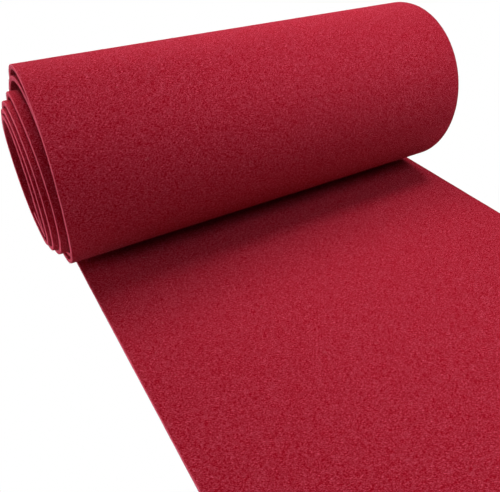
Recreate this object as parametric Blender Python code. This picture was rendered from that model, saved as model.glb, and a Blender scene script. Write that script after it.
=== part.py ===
"""Roll of thick felt: one straight-cut length, rolled up, with its near end left lying flat.

The roll's axis runs along X, over y = 0, and the flat loose end points to -Y. The length goes from
that end under the roll, up its back, over its top and down its front, and on in smaller turns to
its inner end. The origin is on the underside, below the axis, at the middle of the width.
"""
from collections import namedtuple
from math import cos, radians, sin

import bmesh
import bpy
from mathutils import Vector

MM = 0.001

# Driving dimensions
WIDTH = 300 * MM
THICKNESS = 3 * MM
LOOSE_END = 300 * MM
FLAT_SPOT = 6 * MM
BREADTH = 1.045
INNER_END_ANGLE = 15
STEPS_PER_TURN = 48
LOOSE_END_STEPS = 12

# Each turn begins at its lowest point, below the axis. bottom and top are the heights of its outer
# face there and at its highest point. Its height settles under its own weight, so it is a little
# broader than that: BREADTH says by how much. The edge columns say how far it has slid along the
# axis from the flat loose end, at its lowest point, its highest point and the front. All in
# millimetres.
Turn = namedtuple("Turn", "bottom top edge_bottom edge_top edge_front")
TURNS = (
    Turn(bottom=0.0, top=129.0, edge_bottom=0.0, edge_top=-5.8, edge_front=-8.3),
    Turn(bottom=5.4, top=122.6, edge_bottom=-6.2, edge_top=-6.4, edge_front=-6.6),
    Turn(bottom=8.7, top=114.1, edge_bottom=-4.9, edge_top=-11.7, edge_front=-11.6),
    Turn(bottom=12.0, top=109.3, edge_bottom=-11.7, edge_top=-15.2, edge_front=-15.1),
    Turn(bottom=15.3, top=105.1, edge_bottom=-14.3, edge_top=-16.9, edge_front=-17.1),
    Turn(bottom=19.2, top=101.2, edge_bottom=-15.7, edge_top=-17.8, edge_front=-18.5),
    Turn(bottom=24.8, top=96.4, edge_bottom=-14.9, edge_top=-16.5, edge_front=-16.5),
)

Mark = namedtuple("Mark", "angle slide")

FELT_COLOUR = (0.42, 0.016, 0.032, 1.0)
FELT_ROUGHNESS = 0.95


def clear_scene():
    """Remove whatever the file opened with."""
    for obj in list(bpy.data.objects):
        bpy.data.objects.remove(obj, do_unlink=True)


def felt_material():
    """Plain dyed felt: dark red, dull, not metallic."""
    material = bpy.data.materials.new("crimson_felt")
    material.use_nodes = True
    shader = material.node_tree.nodes["Principled BSDF"]
    shader.inputs["Base Color"].default_value = FELT_COLOUR
    shader.inputs["Roughness"].default_value = FELT_ROUGHNESS
    shader.inputs["Metallic"].default_value = 0.0
    return material


def edge_marks():
    """Where the edge has slid how far, by the angle wound since the loose end."""
    marks = []
    for number, turn in enumerate(TURNS):
        wound = 360 * number
        marks.append(Mark(wound, turn.edge_bottom))
        marks.append(Mark(wound + 180, turn.edge_top))
        marks.append(Mark(wound + 270, turn.edge_front))
    return marks


MARKS = edge_marks()


def drift(number):
    """How fast the edge slides at one mark, in millimetres a degree."""
    if number == 0:
        return 0
    before = MARKS[number - 1]
    after = MARKS[min(number + 1, len(MARKS) - 1)]
    return (after.slide - before.slide) / (after.angle - before.angle)


def edge_slide(angle):
    """How far along the axis the edge stands from the loose end's edge: a smooth curve by the marks."""
    number = max(place for place, mark in enumerate(MARKS[:-1]) if mark.angle <= angle)
    start, end = MARKS[number], MARKS[number + 1]
    span = end.angle - start.angle
    part = (angle - start.angle) / span
    middle = start.slide + (end.slide - start.slide) * part * part * (3 - 2 * part)
    leaving = drift(number) * span * part * (1 - part) ** 2
    arriving = drift(number + 1) * span * part * part * (1 - part)
    return middle + leaving - arriving


def turn_point(number, angle):
    """A point of the felt's middle face: angle 0 is lowest, 90 at the back, 180 highest, 270 at the front.

    The back half rises from the turn's own bottom to its top, and the front half falls from there
    to the bottom of the following turn. Each half is half an oval. Behind the axis the turn first
    lies flat under the roll's weight.
    """
    turn = TURNS[number]
    following = TURNS[min(number + 1, len(TURNS) - 1)]
    rising = angle <= 180
    low = (turn.bottom if rising else following.bottom) * MM + THICKNESS / 2
    high = turn.top * MM - THICKNESS / 2
    radius = (high - low) / 2
    turned = radians(angle)
    flat = FLAT_SPOT * (1 + cos(turned)) / 2 if rising else 0
    along = edge_slide(360 * number + angle) * MM - WIDTH / 2
    return Vector((along, flat + BREADTH * radius * sin(turned), low + radius * (1 - cos(turned))))


def edge_points():
    """The felt's left edge, from the cut of its loose end to its inner end."""
    points = []
    for step in range(LOOSE_END_STEPS + 1):
        distance = LOOSE_END * (1 - step / LOOSE_END_STEPS)
        points.append(Vector((-WIDTH / 2, -distance, THICKNESS / 2)))
    turn_angle = 360 / STEPS_PER_TURN
    inner = len(TURNS) - 1
    for number in range(inner):
        for step in range(STEPS_PER_TURN + 1):
            points.append(turn_point(number, step * turn_angle))
    for step in range(int(INNER_END_ANGLE / turn_angle) + 1):
        points.append(turn_point(inner, step * turn_angle))
    return points


def felt_length(material):
    """The whole length: its edge drawn across the width, then given its thickness."""
    shape = bmesh.new()
    corner = None
    for point in edge_points():
        following = shape.verts.new(point)
        if corner is not None:
            shape.edges.new((corner, following))
        corner = following
    across = bmesh.ops.extrude_edge_only(shape, edges=shape.edges[:])
    moved = [item for item in across["geom"] if isinstance(item, bmesh.types.BMVert)]
    bmesh.ops.translate(shape, verts=moved, vec=(WIDTH, 0, 0))
    bmesh.ops.recalc_face_normals(shape, faces=shape.faces[:])

    mesh = bpy.data.meshes.new("felt_length")
    shape.to_mesh(mesh)
    shape.free()
    mesh.shade_smooth()
    mesh.materials.append(material)
    felt = bpy.data.objects.new("felt_length", mesh)
    bpy.context.scene.collection.objects.link(felt)

    wall = felt.modifiers.new("thickness", "SOLIDIFY")
    wall.thickness = THICKNESS
    wall.offset = 0.0
    wall.use_even_offset = True
    return felt


clear_scene()
felt_length(felt_material())
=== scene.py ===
# %% [markdown]
# # A roll of thick felt, its near end laid flat
#
# The real thing is one straight-cut length of dyed felt. It is three millimetres thick, three
# hundred wide and two and a quarter metres long. It is wound up loosely, its turns have slid
# a few millimetres sideways, and the last stretch lies flat in front of the roll. Nothing is sewn
# to it, so the whole lesson is about one cloth: how it winds, its soft cut edges and its matted
# fibres.
#
# The felt is modelled flat, as it leaves the factory, and wound up at the end. Flat cloth is easy
# to think about: every point has a place across it, a place along it and a height in its
# thickness. The materials read those three numbers too, so the pattern follows the cloth round
# the roll.

from collections import namedtuple
from math import cos, radians, sin

import bmesh
import bpy
import numpy as np
from mathutils import Matrix, Vector, noise


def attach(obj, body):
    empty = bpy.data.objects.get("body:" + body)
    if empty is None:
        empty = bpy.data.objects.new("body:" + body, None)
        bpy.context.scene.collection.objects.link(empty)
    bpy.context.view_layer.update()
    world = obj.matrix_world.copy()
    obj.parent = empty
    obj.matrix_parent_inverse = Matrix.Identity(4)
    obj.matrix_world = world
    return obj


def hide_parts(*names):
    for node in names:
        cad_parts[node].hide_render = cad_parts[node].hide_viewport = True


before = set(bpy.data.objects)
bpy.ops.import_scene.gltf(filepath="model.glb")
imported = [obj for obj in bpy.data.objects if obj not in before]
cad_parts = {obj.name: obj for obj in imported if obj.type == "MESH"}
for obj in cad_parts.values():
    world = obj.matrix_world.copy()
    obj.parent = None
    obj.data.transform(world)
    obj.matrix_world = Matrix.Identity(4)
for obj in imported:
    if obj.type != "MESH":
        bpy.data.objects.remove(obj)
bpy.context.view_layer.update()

# %% [markdown]
# ## The camera
#
# The picture was taken from the left end of the roll, a third of a metre in front of it and
# looking down at it. The place and the angles below were worked out from the felt itself: its
# two long edges are parallel, its width is known, and the roll's end is nearly round. An
# ordinary 40 mm lens gives the picture's perspective.

# %% The camera
CAMERA_PLACE = Vector((-0.1978, -0.3249, 0.2400))
CAMERA_RIGHT = radians(31.12)
CAMERA_DOWN = radians(37.71)
CAMERA_LEAN = radians(0.92)
LENS_MM = 39.55
SENSOR_MM = 36
NEAREST_SEEN = 0.01


def aim_camera():
    """A camera that turns right, dips and leans as the picture's did."""
    camera = bpy.data.objects.new("camera", bpy.data.cameras.new("camera"))
    camera.data.lens = LENS_MM
    camera.data.sensor_width = SENSOR_MM
    camera.data.clip_start = NEAREST_SEEN
    bpy.context.scene.collection.objects.link(camera)
    turn = Matrix.Rotation(-CAMERA_RIGHT, 4, "Z")
    dip = Matrix.Rotation(radians(90) - CAMERA_DOWN, 4, "X")
    lean = Matrix.Rotation(CAMERA_LEAN, 4, "Z")
    camera.matrix_world = Matrix.Translation(CAMERA_PLACE) @ turn @ dip @ lean
    bpy.context.scene.camera = camera
    return camera


camera = aim_camera()
print("camera height, mm:", round(1000 * camera.location.z))

# %% [markdown]
# ## How the felt is wound
#
# A wound cloth could be drawn as one spiral, but a real roll is looser at its top than at its
# bottom, where its own weight presses the turns together, and it settles into an oval. So each
# turn has its own row here: how high it lies at its lowest and highest points, and how far it has
# slid along the axis. Each half turn is half an oval between those heights, which meets the next
# one without a kink.
#
# The slides are known at three places of each turn. Between them they follow a smooth curve, which
# leaves each place in the direction from the one before it to the one after it.

# %% The turns
MM = 0.001
WIDTH = 300 * MM
THICKNESS = 3 * MM
LOOSE_END = 300 * MM
FLAT_SPOT = 6 * MM
BREADTH = 1.045
INNER_END_ANGLE = 15

Turn = namedtuple("Turn", "bottom top edge_bottom edge_top edge_front")
TURNS = (
    Turn(bottom=0.0, top=129.0, edge_bottom=0.0, edge_top=-5.8, edge_front=-8.3),
    Turn(bottom=5.4, top=122.6, edge_bottom=-6.2, edge_top=-6.4, edge_front=-6.6),
    Turn(bottom=8.7, top=114.1, edge_bottom=-4.9, edge_top=-11.7, edge_front=-11.6),
    Turn(bottom=12.0, top=109.3, edge_bottom=-11.7, edge_top=-15.2, edge_front=-15.1),
    Turn(bottom=15.3, top=105.1, edge_bottom=-14.3, edge_top=-16.9, edge_front=-17.1),
    Turn(bottom=19.2, top=101.2, edge_bottom=-15.7, edge_top=-17.8, edge_front=-18.5),
    Turn(bottom=24.8, top=96.4, edge_bottom=-14.9, edge_top=-16.5, edge_front=-16.5),
)

Mark = namedtuple("Mark", "angle slide")


def edge_marks():
    """Where the edge has slid how far, by the angle wound since the loose end."""
    marks = []
    for number, turn in enumerate(TURNS):
        angle = 360 * number
        marks.append(Mark(angle, turn.edge_bottom))
        marks.append(Mark(angle + 180, turn.edge_top))
        marks.append(Mark(angle + 270, turn.edge_front))
    return marks


MARKS = edge_marks()


def drift(number):
    """How fast the edge slides at one mark, in millimetres a degree."""
    if number == 0:
        return 0
    before = MARKS[number - 1]
    after = MARKS[min(number + 1, len(MARKS) - 1)]
    return (after.slide - before.slide) / (after.angle - before.angle)


def edge_slide(angle):
    """How far along the axis the edge stands from the loose end's edge: a smooth curve by the marks."""
    number = max(place for place, mark in enumerate(MARKS[:-1]) if mark.angle <= angle)
    start, end = MARKS[number], MARKS[number + 1]
    span = end.angle - start.angle
    part = (angle - start.angle) / span
    middle = start.slide + (end.slide - start.slide) * part * part * (3 - 2 * part)
    leaving = drift(number) * span * part * (1 - part) ** 2
    arriving = drift(number + 1) * span * part * part * (1 - part)
    return middle + leaving - arriving


print("edge slide over the top, mm:", round(edge_slide(180), 1))

# %% [markdown]
# The route is the felt's middle layer seen along the axis. It starts at the cut of the loose end,
# passes under the roll, goes up its back, over its top and down its front, and goes on inwards.
# It is sampled every few degrees.

# %% The route
ANGLE_STEP = 2.5


def turn_point(number, angle):
    """A point of the felt's middle layer: 0 is lowest, 90 at the back, 180 highest, 270 in front."""
    turn = TURNS[number]
    following = TURNS[min(number + 1, len(TURNS) - 1)]
    rising = angle <= 180
    low = (turn.bottom if rising else following.bottom) * MM + THICKNESS / 2
    high = turn.top * MM - THICKNESS / 2
    radius = (high - low) / 2
    turned = radians(angle)
    flat = FLAT_SPOT * (1 + cos(turned)) / 2 if rising else 0
    slide = edge_slide(360 * number + angle) * MM
    return Vector((slide, flat + BREADTH * radius * sin(turned), low + radius * (1 - cos(turned))))


def route_points():
    """The middle layer's route, from the cut of the loose end to the inner end, each point once."""
    points = [Vector((0, -LOOSE_END, THICKNESS / 2)), Vector((0, -FLAT_SPOT, THICKNESS / 2))]
    inner = len(TURNS) - 1
    for number in range(inner):
        for step in range(round(360 / ANGLE_STEP) + 1):
            points.append(turn_point(number, step * ANGLE_STEP))
    for step in range(1, round(INNER_END_ANGLE / ANGLE_STEP) + 1):
        points.append(turn_point(inner, step * ANGLE_STEP))
    return [point for point, before in zip(points, [None] + points) if point != before]


ROUTE = np.array(route_points())
ROUTE_STEPS = np.linalg.norm(np.diff(ROUTE[:, 1:], axis=0), axis=1)
ROUTE_ALONG = np.concatenate([[0], np.cumsum(ROUTE_STEPS)])
LENGTH = float(ROUTE_ALONG[-1])
HEADING = np.gradient(ROUTE[:, 1:], ROUTE_ALONG, axis=0)
HEADING /= np.linalg.norm(HEADING, axis=1)[:, None]
print("length of felt, mm:", round(1000 * LENGTH))

# %% [markdown]
# Winding is one change of place for every point. Its place along the cloth picks a spot on the
# route, its height moves it off the middle layer, square to the route, and its place across
# the cloth stays where it is, but for the turn's slide. Blender's Curve modifier could bend the
# cloth too, but it would twist and stretch it, and it knows nothing of the slide.
#
# Each point's flat place is kept as an attribute of the mesh before it moves. That is what the
# materials read.

# %% Winding


def wound(flat):
    """Points of the flat cloth, as rows of (across, along, height), where they lie once it is wound."""
    along = flat[:, 1]
    slide, depth, height = (np.interp(along, ROUTE_ALONG, column) for column in ROUTE.T)
    ahead, up = (np.interp(along, ROUTE_ALONG, column) for column in HEADING.T)
    beyond = along - np.clip(along, 0, LENGTH)
    depth = depth - up * flat[:, 2] + ahead * beyond
    height = height + ahead * flat[:, 2] + up * beyond
    return np.stack([flat[:, 0] + slide, depth, height], axis=1)


def wind_up(mesh):
    """Keep the mesh's flat places as an attribute for its materials, and wind it."""
    flat = np.empty(len(mesh.vertices) * 3, np.float32)
    mesh.vertices.foreach_get("co", flat)
    place = mesh.attributes.new("flat_place", "FLOAT_VECTOR", "POINT")
    place.data.foreach_set("vector", flat)
    mesh.vertices.foreach_set("co", wound(flat.reshape(-1, 3)).astype(np.float32).ravel())
    mesh.update()


# %% [markdown]
# ## The cloth
#
# The flat felt starts as a grid, which is finer along the length than across, because only the
# length bends. Solidify gives it its thickness, and a bevel takes the sharpness off its
# cut edges: felt is springy, and a blade leaves its edge a little rounded. Everything that leans
# far enough towards a side counts as cut, and gets the cut's finish.
#
# A low, uneven relief keeps the faces and the cuts from being perfectly true. The faces have
# small lumps and wider swells, and each long cut wanders a little from a straight line.

# %% The flat cloth
ACROSS_STEPS = 48
ALONG_STEPS = 660
EDGE_ROUNDING = 0.65 * MM
SHARP_CORNER = radians(60)
CUT_FACE = 1
CUT_FACE_LEAN = 0.75

Relief = namedtuple("Relief", "spacing height seed")
LUMPS = Relief(spacing=22 * MM, height=0.07 * MM, seed=3.1)
SWELLS = Relief(spacing=70 * MM, height=0.05 * MM, seed=9.7)
LEFT_WANDER = Relief(spacing=12 * MM, height=0.12 * MM, seed=1.7)
RIGHT_WANDER = Relief(spacing=12 * MM, height=0.12 * MM, seed=5.3)
WANDER_OFFSET = 0.4
WANDER_REACH = 1.2 * MM


def relief(vertex):
    """Move one point of the flat cloth a little, as uneven felt and a hand-held blade would."""
    place = vertex.co
    side = 1 if place.z > 0 else -1
    for form in (LUMPS, SWELLS):
        spot = Vector((place.x / form.spacing, place.y / form.spacing, side * form.seed))
        place.z += side * form.height * noise.noise(spot)
    if abs(place.x) > WIDTH / 2 - WANDER_REACH:
        form = RIGHT_WANDER if place.x > 0 else LEFT_WANDER
        spot = Vector((place.y / form.spacing, side * WANDER_OFFSET, form.seed))
        place.x += form.height * noise.noise(spot)


def flat_cloth():
    """The whole length of felt, still flat: x across, y along and z in its thickness."""
    shape = bmesh.new()
    bmesh.ops.create_grid(shape, x_segments=ACROSS_STEPS, y_segments=ALONG_STEPS, size=0.5)
    bmesh.ops.scale(shape, verts=shape.verts, vec=(WIDTH, LENGTH, 1))
    bmesh.ops.solidify(shape, geom=shape.faces[:], thickness=THICKNESS)
    heights = [vertex.co.z for vertex in shape.verts]
    middle = (min(heights) + max(heights)) / 2
    bmesh.ops.translate(shape, verts=shape.verts, vec=(0, LENGTH / 2, -middle))
    bmesh.ops.recalc_face_normals(shape, faces=shape.faces)
    corners = [edge for edge in shape.edges if edge.calc_face_angle(0) > SHARP_CORNER]
    bmesh.ops.bevel(
        shape, geom=corners, offset=EDGE_ROUNDING, offset_type="OFFSET", segments=3,
        profile=0.5, affect="EDGES", material=-1,
    )
    shape.normal_update()
    for face in shape.faces:
        face.material_index = CUT_FACE if abs(face.normal.z) < CUT_FACE_LEAN else 0
    for vertex in shape.verts:
        relief(vertex)
    return shape


cloth_shape = flat_cloth()
print("cloth faces:", len(cloth_shape.faces))

# %% [markdown]
# ## The look of matted fibres
#
# Felt has no weave. Its fibres lie in every direction, bend round each other and clump into
# short, crooked strands a fraction of a millimetre wide. A picture of felt could be stretched over
# the cloth, but it would repeat and blur. Here the strands are drawn by noise. One layer of
# noise, pulled out long in one direction, gives streaks that all run that way. Six layers, each
# turned another way and all bent by the same slow swirl, are laid over each other like brush
# strokes. Each has its own tone, from the deep red between the strands to their paler tops. The
# deep red is partly painted shade between the strands, and the paler tops are partly a painted
# highlight on them.
#
# Four helpers keep the node trees readable. They are used for everything below.

# %% Node helpers


def feed(tree, value, socket):
    """Feed a socket from another one, or set it to a plain value."""
    if isinstance(value, bpy.types.NodeSocket):
        tree.links.new(value, socket)
    else:
        socket.default_value = value


def add_node(tree, kind, inputs=None, **settings):
    """One node with its settings made and its inputs fed. A bare kind is a shader node's."""
    node = tree.nodes.new(kind if "Node" in kind else "ShaderNode" + kind)
    for name, value in settings.items():
        setattr(node, name, value)
    for name, value in (inputs or {}).items():
        feed(tree, value, node.inputs[name])
    return node


def calculate(tree, operation, *values):
    """The result of one Math node."""
    inputs = dict(enumerate(values))
    return add_node(tree, "Math", inputs, operation=operation).outputs["Value"]


def new_group(name, numbers, result):
    """A node group that takes a place and some numbers, and gives one number."""
    tree = bpy.data.node_groups.new(name, "ShaderNodeTree")
    tree.interface.new_socket("Place", in_out="INPUT", socket_type="NodeSocketVector")
    for label in numbers:
        tree.interface.new_socket(label, in_out="INPUT", socket_type="NodeSocketFloat")
    tree.interface.new_socket(result, in_out="OUTPUT", socket_type="NodeSocketFloat")
    given = tree.nodes.new("NodeGroupInput").outputs
    made = tree.nodes.new("NodeGroupOutput").inputs
    return tree, given, made


# %% One layer of streaks
EDGE_SOFTNESS = 0.05


def streak_layer_group():
    """Noise pulled out long in one direction of the cloth; lengths are in millimetres."""
    tree, given, made = new_group(
        "streak_layer", ("Angle", "Length", "Width", "Layer", "Edge"), "Streaks",
    )
    turned = add_node(
        tree, "VectorRotate", {"Vector": given["Place"], "Angle": given["Angle"]},
        rotation_type="Z_AXIS",
    ).outputs["Vector"]
    parts = add_node(tree, "SeparateXYZ", {"Vector": turned}).outputs
    height = calculate(tree, "DIVIDE", parts["Z"], given["Width"])
    place = add_node(tree, "CombineXYZ", {
        "X": calculate(tree, "DIVIDE", parts["X"], given["Length"]),
        "Y": calculate(tree, "DIVIDE", parts["Y"], given["Width"]),
        "Z": calculate(tree, "ADD", height, given["Layer"]),
    }).outputs["Vector"]
    streaks = add_node(
        tree, "TexNoise", {"Vector": place, "Scale": 1.0, "Detail": 1.0, "Roughness": 0.5},
        noise_dimensions="3D",
    ).outputs["Fac"]
    full = calculate(tree, "ADD", given["Edge"], EDGE_SOFTNESS)
    strokes = add_node(
        tree, "MapRange", {"Value": streaks, "From Min": given["Edge"], "From Max": full},
        interpolation_type="SMOOTHSTEP",
    )
    feed(tree, strokes.outputs["Result"], made["Streaks"])
    return tree


STREAK_LAYER = streak_layer_group()
print("streak layer nodes:", len(STREAK_LAYER.nodes))

# %% The mat
Layer = namedtuple("Layer", "angle tone edge")
LAYERS = (
    Layer(angle=100, tone=0.20, edge=0.50),
    Layer(angle=38, tone=0.80, edge=0.56),
    Layer(angle=160, tone=0.25, edge=0.50),
    Layer(angle=72, tone=0.90, edge=0.58),
    Layer(angle=128, tone=0.30, edge=0.52),
    Layer(angle=10, tone=1.00, edge=0.58),
)
LAYER_SPACING = 7.3
MIDDLE_TONE = 0.5
SWIRL_SIZE = 5.0


def matted_fibres_group():
    """The tone of the strand on top at each point, from 0 for the deepest to 1 for the highest."""
    tree, given, made = new_group("matted_fibres", ("Length", "Width", "Swirl"), "Tone")
    swirl = add_node(
        tree, "TexNoise", {"Vector": given["Place"], "Scale": 1 / SWIRL_SIZE, "Detail": 1.0},
        noise_dimensions="3D",
    ).outputs["Color"]
    centred = add_node(
        tree, "VectorMath", {0: swirl, 1: (0.5, 0.5, 0.5)}, operation="SUBTRACT",
    ).outputs["Vector"]
    push = add_node(
        tree, "VectorMath", {0: centred, "Scale": given["Swirl"]}, operation="SCALE",
    ).outputs["Vector"]
    bent = add_node(
        tree, "VectorMath", {0: given["Place"], 1: push}, operation="ADD",
    ).outputs["Vector"]
    tone = MIDDLE_TONE
    for number, layer in enumerate(LAYERS):
        strokes = add_node(tree, "Group", None, node_tree=STREAK_LAYER)
        for name in ("Length", "Width"):
            feed(tree, given[name], strokes.inputs[name])
        feed(tree, bent, strokes.inputs["Place"])
        strokes.inputs["Angle"].default_value = radians(layer.angle)
        strokes.inputs["Layer"].default_value = LAYER_SPACING * number
        strokes.inputs["Edge"].default_value = layer.edge
        tone = add_node(
            tree, "Mix", {0: strokes.outputs["Streaks"], 2: tone, 3: layer.tone}, data_type="FLOAT",
        ).outputs[0]
    feed(tree, tone, made["Tone"])
    return tree


MATTED_FIBRES = matted_fibres_group()
print("mat nodes:", len(MATTED_FIBRES.nodes))

# %% [markdown]
# ## The finishes
#
# The face of the felt and its cut edge are the same wool, with the same mat of strands. On the
# face the fibres lie flat, and at the cut they stand out with their tips bare. The cut's tints are
# a paler, pinker copy of the face's: this paleness is painted highlight, for the light that catches
# the cut edges. A finish's three tints are those of its deepest, middle and topmost strands; the
# deepest is partly painted shade between them, and the topmost partly a painted highlight on their
# tops. Its lengths are in millimetres.

# %% Finishes
Finish = namedtuple("Finish", "body strand pit length width swirl bump")
# The deepest tint is partly painted shade between the strands, and the whitish strand tint partly a
# painted highlight on their tops.
FACE = Finish(
    body=(0.335, 0.0018, 0.0118), strand=(0.655, 0.0810, 0.1400), pit=(0.203, 0.0000, 0.0028),
    length=1.2, width=0.2, swirl=1.2, bump=0.2,
)
# The cut's tints are a paler copy of the face's, lifted as a painted highlight on the cut edges.
CUT_WITH_HIGHLIGHT = Finish(
    body=(0.650, 0.0760, 0.1300), strand=(0.830, 0.1850, 0.2600), pit=(0.460, 0.0250, 0.0500),
    length=1.2, width=0.2, swirl=1.0, bump=0.1,
)


def felt_finish(name, finish):
    """Dull dyed wool: a mat of strands in three tints, with a soft sheen."""
    material = bpy.data.materials.new(name)
    material.use_nodes = True
    tree = material.node_tree
    shader = tree.nodes["Principled BSDF"]
    flat = add_node(tree, "Attribute", attribute_name="flat_place").outputs["Vector"]
    place = add_node(tree, "VectorMath", {0: flat, "Scale": 1 / MM}, operation="SCALE").outputs["Vector"]
    mat = add_node(tree, "Group", None, node_tree=MATTED_FIBRES)
    feed(tree, place, mat.inputs["Place"])
    mat.inputs["Length"].default_value = finish.length
    mat.inputs["Width"].default_value = finish.width
    mat.inputs["Swirl"].default_value = finish.swirl
    tone = mat.outputs["Tone"]
    dye = add_node(tree, "ValToRGB", {"Fac": tone})
    tints = dye.color_ramp.elements
    # Deepest tint: partly painted shade between the strands. Topmost tint: partly a painted highlight on
    # their tops.
    tints[0].color = (*finish.pit, 1)
    tints[1].color = (*finish.strand, 1)
    tints.new(MIDDLE_TONE).color = (*finish.body, 1)
    bump = add_node(tree, "Bump", {"Height": tone, "Strength": 1.0, "Distance": finish.bump * MM})
    feed(tree, dye.outputs["Color"], shader.inputs["Base Color"])
    feed(tree, bump.outputs["Normal"], shader.inputs["Normal"])
    shader.inputs["Roughness"].default_value = 0.95
    shader.inputs["Specular IOR Level"].default_value = 0.0
    shader.inputs["Sheen Weight"].default_value = 0.08
    shader.inputs["Sheen Roughness"].default_value = 0.4
    shader.inputs["Sheen Tint"].default_value = (1.0, 0.45, 0.5, 1)
    return material


face_material = felt_finish("felt_face", FACE)
cut_highlight_material = felt_finish("felt_cut_highlight", CUT_WITH_HIGHLIGHT)

# %% The wound cloth


def wound_cloth(shape):
    """The finished cloth: wound, shaded smooth and with its two finishes."""
    mesh = bpy.data.meshes.new("felt")
    shape.to_mesh(mesh)
    wind_up(mesh)
    mesh.shade_smooth()
    mesh.materials.append(face_material)
    mesh.materials.append(cut_highlight_material)
    felt = bpy.data.objects.new("felt", mesh)
    bpy.context.scene.collection.objects.link(felt)
    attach(felt, "root")
    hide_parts("felt_length")
    return felt


felt = wound_cloth(cloth_shape)
print("felt vertices:", len(felt.data.vertices))

# %% [markdown]
# ## Loose fibres
#
# Felt is never quite clean. On its face, single fibres have worked loose and lie in small curls,
# and a short fuzz stands out of every cut. There are thousands, so one strand is made, and
# Geometry Nodes strews copies of it over flat patches, each with its own turn, lean and size. A
# particle system could do that too, but these become a plain mesh, which is then wound up
# with the cloth.
#
# The strand is a triangle spun through part of a turn: three sides and three steps are enough
# for something as thin as a hair.

# %% One fibre
FIBRE_THICKNESS = 0.07 * MM
FIBRE_BEND = 2.0 * MM
FIBRE_ARC = radians(80)
FIBRE_SIDES = 3
FIBRE_STEPS = 3


def one_fibre():
    """A closed three-sided strand with a bend in it, centred on its middle."""
    shape = bmesh.new()
    bmesh.ops.create_circle(
        shape, cap_ends=True, segments=FIBRE_SIDES, radius=FIBRE_THICKNESS / 2,
    )
    bmesh.ops.rotate(shape, verts=shape.verts, matrix=Matrix.Rotation(radians(90), 3, "X"))
    bmesh.ops.translate(shape, verts=shape.verts, vec=(FIBRE_BEND, 0, 0))
    bmesh.ops.spin(
        shape, geom=shape.faces[:], cent=(0, 0, 0), axis=(0, 0, 1), angle=FIBRE_ARC,
        steps=FIBRE_STEPS,
    )
    ends = [edge for edge in shape.edges if edge.is_boundary]
    bmesh.ops.holes_fill(shape, edges=ends, sides=FIBRE_SIDES)
    bmesh.ops.recalc_face_normals(shape, faces=shape.faces)
    middle = sum((vertex.co for vertex in shape.verts), Vector()) / len(shape.verts)
    bmesh.ops.translate(shape, verts=shape.verts, vec=-middle)
    mesh = bpy.data.meshes.new("fibre")
    shape.to_mesh(mesh)
    shape.free()
    return bpy.data.objects.new("fibre", mesh)


fibre = one_fibre()
print("fibre faces:", len(fibre.data.polygons))

# %% [markdown]
# Each kind of strewing says how many fibres lie on a square metre, how far they lean out of it in
# degrees, and how long the shortest and the longest are, as shares of the strand's own length.

# %% Strewing
Strewing = namedtuple("Strewing", "density lean shortest longest")
ON_FACES = Strewing(density=26000, lean=4, shortest=0.5, longest=1.4)
ALONG_CUTS = Strewing(density=520000, lean=22, shortest=0.35, longest=0.7)
SPOT_SEED = 3
TURN_SEED = 5
SIZE_SEED = 7


def strewing_nodes(strewing):
    """Geometry Nodes that turn a patch into the fibres that lie on it."""
    tree = bpy.data.node_groups.new("strewing", "GeometryNodeTree")
    for way in ("INPUT", "OUTPUT"):
        tree.interface.new_socket("Geometry", in_out=way, socket_type="NodeSocketGeometry")
    patch = add_node(tree, "NodeGroupInput").outputs[0]
    spots = add_node(
        tree, "GeometryNodeDistributePointsOnFaces",
        {"Mesh": patch, "Density": strewing.density, "Seed": SPOT_SEED},
    ).outputs
    lean = radians(strewing.lean)
    turn = add_node(
        tree, "FunctionNodeRandomValue",
        {0: (-lean, -lean, 0), 1: (lean, lean, radians(360)), "Seed": TURN_SEED},
        data_type="FLOAT_VECTOR",
    ).outputs[0]
    turn = add_node(tree, "FunctionNodeEulerToRotation", {0: turn}).outputs[0]
    turn = add_node(
        tree, "FunctionNodeRotateRotation", {"Rotation": spots["Rotation"], "Rotate By": turn},
        rotation_space="LOCAL",
    ).outputs[0]
    size = add_node(
        tree, "FunctionNodeRandomValue",
        {0: (strewing.shortest,) * 3, 1: (strewing.longest,) * 3, "Seed": SIZE_SEED},
        data_type="FLOAT_VECTOR",
    ).outputs[0]
    strand = add_node(tree, "GeometryNodeObjectInfo", {"Object": fibre}).outputs["Geometry"]
    copies = add_node(tree, "GeometryNodeInstanceOnPoints", {
        "Points": spots["Points"], "Instance": strand, "Rotation": turn, "Scale": size,
    }).outputs[0]
    strands = add_node(tree, "GeometryNodeRealizeInstances", {"Geometry": copies}).outputs[0]
    feed(tree, strands, add_node(tree, "NodeGroupOutput").inputs[0])
    return tree


# %% The fibre's finish
TINT_SPACING = 6.25 * MM
Tint = namedtuple("Tint", "place colour")
FIBRE_TINTS = (
    Tint(place=0.35, colour=(0.40, 0.012, 0.030, 1)),
    Tint(place=0.62, colour=(0.56, 0.080, 0.120, 1)),
    Tint(place=0.74, colour=(0.75, 0.380, 0.420, 1)),
)


def fibre_finish():
    """Brighter than the mat, and here and there quite pale, as lint is."""
    material = bpy.data.materials.new("loose_fibre")
    material.use_nodes = True
    tree = material.node_tree
    shader = tree.nodes["Principled BSDF"]
    flat = add_node(tree, "Attribute", attribute_name="flat_place").outputs["Vector"]
    spread = add_node(
        tree, "TexNoise", {"Vector": flat, "Scale": 1 / TINT_SPACING, "Detail": 2.0},
        noise_dimensions="3D",
    )
    dye = add_node(tree, "ValToRGB", {"Fac": spread.outputs["Fac"]})
    stops = dye.color_ramp.elements
    for stop, tint in zip((stops[0], stops.new(0.5), stops[-1]), FIBRE_TINTS):
        stop.position = tint.place
        stop.color = tint.colour
    feed(tree, dye.outputs["Color"], shader.inputs["Base Color"])
    shader.inputs["Roughness"].default_value = 0.8
    shader.inputs["Specular IOR Level"].default_value = 0.1
    return material


fibre_material = fibre_finish()

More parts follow.
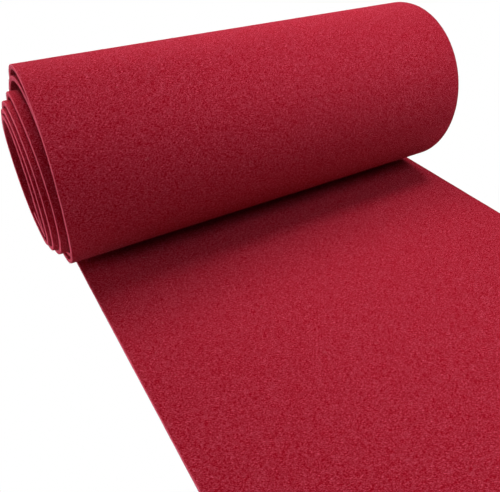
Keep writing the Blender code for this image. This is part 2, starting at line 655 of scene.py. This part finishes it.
# %% [markdown]
# The patches are plain rectangles on the flat cloth. For the faces, they are the upper face of the
# loose end and the outside of the outermost turn, which is the same cloth's lower face. For the
# cuts, they are both long edges from end to end, and the cut across the loose end.

# %% The loose fibres
OUTER_TURN = 410 * MM


def patch(shape, turn, place, width, length):
    """Add one rectangle that faces along its turned Z axis."""
    size = Matrix.Diagonal((width, length, 1, 1))
    bmesh.ops.create_grid(
        shape, x_segments=1, y_segments=1, size=0.5, matrix=Matrix.Translation(place) @ turn @ size,
    )


def strewn(name, shape, strewing):
    """Strew fibres over the patches of a flat shape, and wind them up as one piece."""
    ground = bpy.data.meshes.new("patches")
    shape.to_mesh(ground)
    shape.free()
    carrier = bpy.data.objects.new("patches", ground)
    bpy.context.scene.collection.objects.link(carrier)
    carrier.modifiers.new("strewing", "NODES").node_group = strewing_nodes(strewing)
    graph = bpy.context.evaluated_depsgraph_get()
    mesh = bpy.data.meshes.new_from_object(carrier.evaluated_get(graph))
    bpy.data.objects.remove(carrier, do_unlink=True)
    wind_up(mesh)
    mesh.shade_smooth()
    mesh.materials.clear()
    mesh.materials.append(fibre_material)
    mesh.name = name
    piece = bpy.data.objects.new(name, mesh)
    bpy.context.scene.collection.objects.link(piece)
    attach(piece, "root")
    print(name, "faces:", len(mesh.polygons))
    return piece


def fibres_on_faces():
    """Curls on the loose end and round the outside of the roll."""
    shape = bmesh.new()
    half = THICKNESS / 2
    outer_middle = LOOSE_END + OUTER_TURN / 2
    patch(shape, Matrix.Identity(4), (0, LOOSE_END / 2, half), WIDTH, LOOSE_END)
    over = Matrix.Rotation(radians(180), 4, "Y")
    patch(shape, over, (0, outer_middle, -half), WIDTH, OUTER_TURN)
    return strewn("face_fibres", shape, ON_FACES)


def fibres_along_cuts():
    """Fuzz along both long edges and across the loose end."""
    shape = bmesh.new()
    for side in (-1, 1):
        turn = Matrix.Rotation(radians(90) * side, 4, "Y")
        patch(shape, turn, (side * WIDTH / 2, LENGTH / 2, 0), THICKNESS, LENGTH)
    turn = Matrix.Rotation(radians(90), 4, "X")
    patch(shape, turn, (0, 0, 0), WIDTH, THICKNESS)
    return strewn("cut_fibres", shape, ALONG_CUTS)


face_fibres = fibres_on_faces()
cut_fibres = fibres_along_cuts()
bpy.data.objects.remove(fibre, do_unlink=True)

# %% [markdown]
# ## Floor and light
#
# The picture has a pure white ground, although the felt throws a shadow on itself. So the ground is
# two things at once: evenly white to the eye, and a plain, dull floor or a dim sky to the light
# that falls on the felt. The Light Path node tells the two apart.
#
# Five lamps light it. A soft box above and a little behind gives most of the light, a low one far
# behind brightens the crest of the roll, and a small one in front lights the roll's near side. The
# one at the left is for the end of the roll, where it picks out the pale cuts. The spot is aimed at
# the flat length, and its soft edge lets the near left corner go darker.

# %% Floor and light
FLOOR_DROP = 0.2 * MM
FLOOR_REACH = 4
LAMP_TARGET = Vector((0, -0.05, 0.05))
SPOT_SOFTNESS = 0.15


def pale_floor():
    """A wide white floor, just under the felt: plain to the light, and evenly white to the eye."""
    shape = bmesh.new()
    bmesh.ops.create_grid(shape, x_segments=1, y_segments=1, size=FLOOR_REACH)
    bmesh.ops.translate(shape, verts=shape.verts, vec=(0, 0, -FLOOR_DROP))
    mesh = bpy.data.meshes.new("floor")
    shape.to_mesh(mesh)
    shape.free()
    material = bpy.data.materials.new("white_floor")
    material.use_nodes = True
    tree = material.node_tree
    shader = tree.nodes["Principled BSDF"]
    shader.inputs["Base Color"].default_value = (0.8, 0.8, 0.8, 1)
    shader.inputs["Roughness"].default_value = 0.8
    white = add_node(tree, "Emission", {"Color": (1, 1, 1, 1), "Strength": 1.0})
    seen = add_node(tree, "LightPath").outputs["Is Camera Ray"]
    ground = add_node(tree, "MixShader", {0: seen, 1: shader.outputs[0], 2: white.outputs[0]})
    feed(tree, ground.outputs[0], tree.nodes["Material Output"].inputs["Surface"])
    mesh.materials.append(material)
    floor = bpy.data.objects.new("floor", mesh)
    bpy.context.scene.collection.objects.link(floor)


def soft_box(name, place, size, watts):
    """A square soft light that faces the roll."""
    lamp = bpy.data.lights.new(name, "AREA")
    lamp.shape = "SQUARE"
    lamp.size = size
    lamp.energy = watts
    box = bpy.data.objects.new(name, lamp)
    box.location = place
    box.rotation_euler = (LAMP_TARGET - Vector(place)).to_track_quat("-Z", "Y").to_euler()
    bpy.context.scene.collection.objects.link(box)


def soft_spot(name, place, target, cone, watts):
    """A spotlight with a wide soft edge, which leaves what is outside its cone darker."""
    lamp = bpy.data.lights.new(name, "SPOT")
    lamp.energy = watts
    lamp.spot_size = radians(cone)
    lamp.spot_blend = 1.0
    lamp.shadow_soft_size = SPOT_SOFTNESS
    spot = bpy.data.objects.new(name, lamp)
    spot.location = place
    spot.rotation_euler = (Vector(target) - Vector(place)).to_track_quat("-Z", "Y").to_euler()
    bpy.context.scene.collection.objects.link(spot)


def white_world(strength):
    """Weak light from all around, and a white ground to the eye."""
    world = bpy.data.worlds.new("studio")
    world.use_nodes = True
    tree = world.node_tree
    dim = tree.nodes["Background"]
    dim.inputs["Color"].default_value = (1, 1, 1, 1)
    dim.inputs["Strength"].default_value = strength
    white = add_node(tree, "Background", {"Color": (1, 1, 1, 1), "Strength": 1.0})
    seen = add_node(tree, "LightPath").outputs["Is Camera Ray"]
    ground = add_node(tree, "MixShader", {0: seen, 1: dim.outputs[0], 2: white.outputs[0]})
    feed(tree, ground.outputs[0], tree.nodes["World Output"].inputs["Surface"])
    bpy.context.scene.world = world


pale_floor()
soft_box("back", place=(-0.15, 0.2, 0.75), size=0.35, watts=3.3)
soft_box("crest", place=(0.0, 0.9, 0.42), size=0.3, watts=9.0)
soft_box("front", place=(0.15, -0.35, 0.45), size=0.2, watts=1.04)
soft_box("side", place=(-1.3, -0.1, 0.35), size=0.6, watts=6.2)
soft_spot("key", place=(0.2, -0.1, 1.0), target=(0.15, -0.15, 0.0), cone=50, watts=23)
white_world(strength=0.07)
bpy.context.scene.view_settings.view_transform = "Standard"
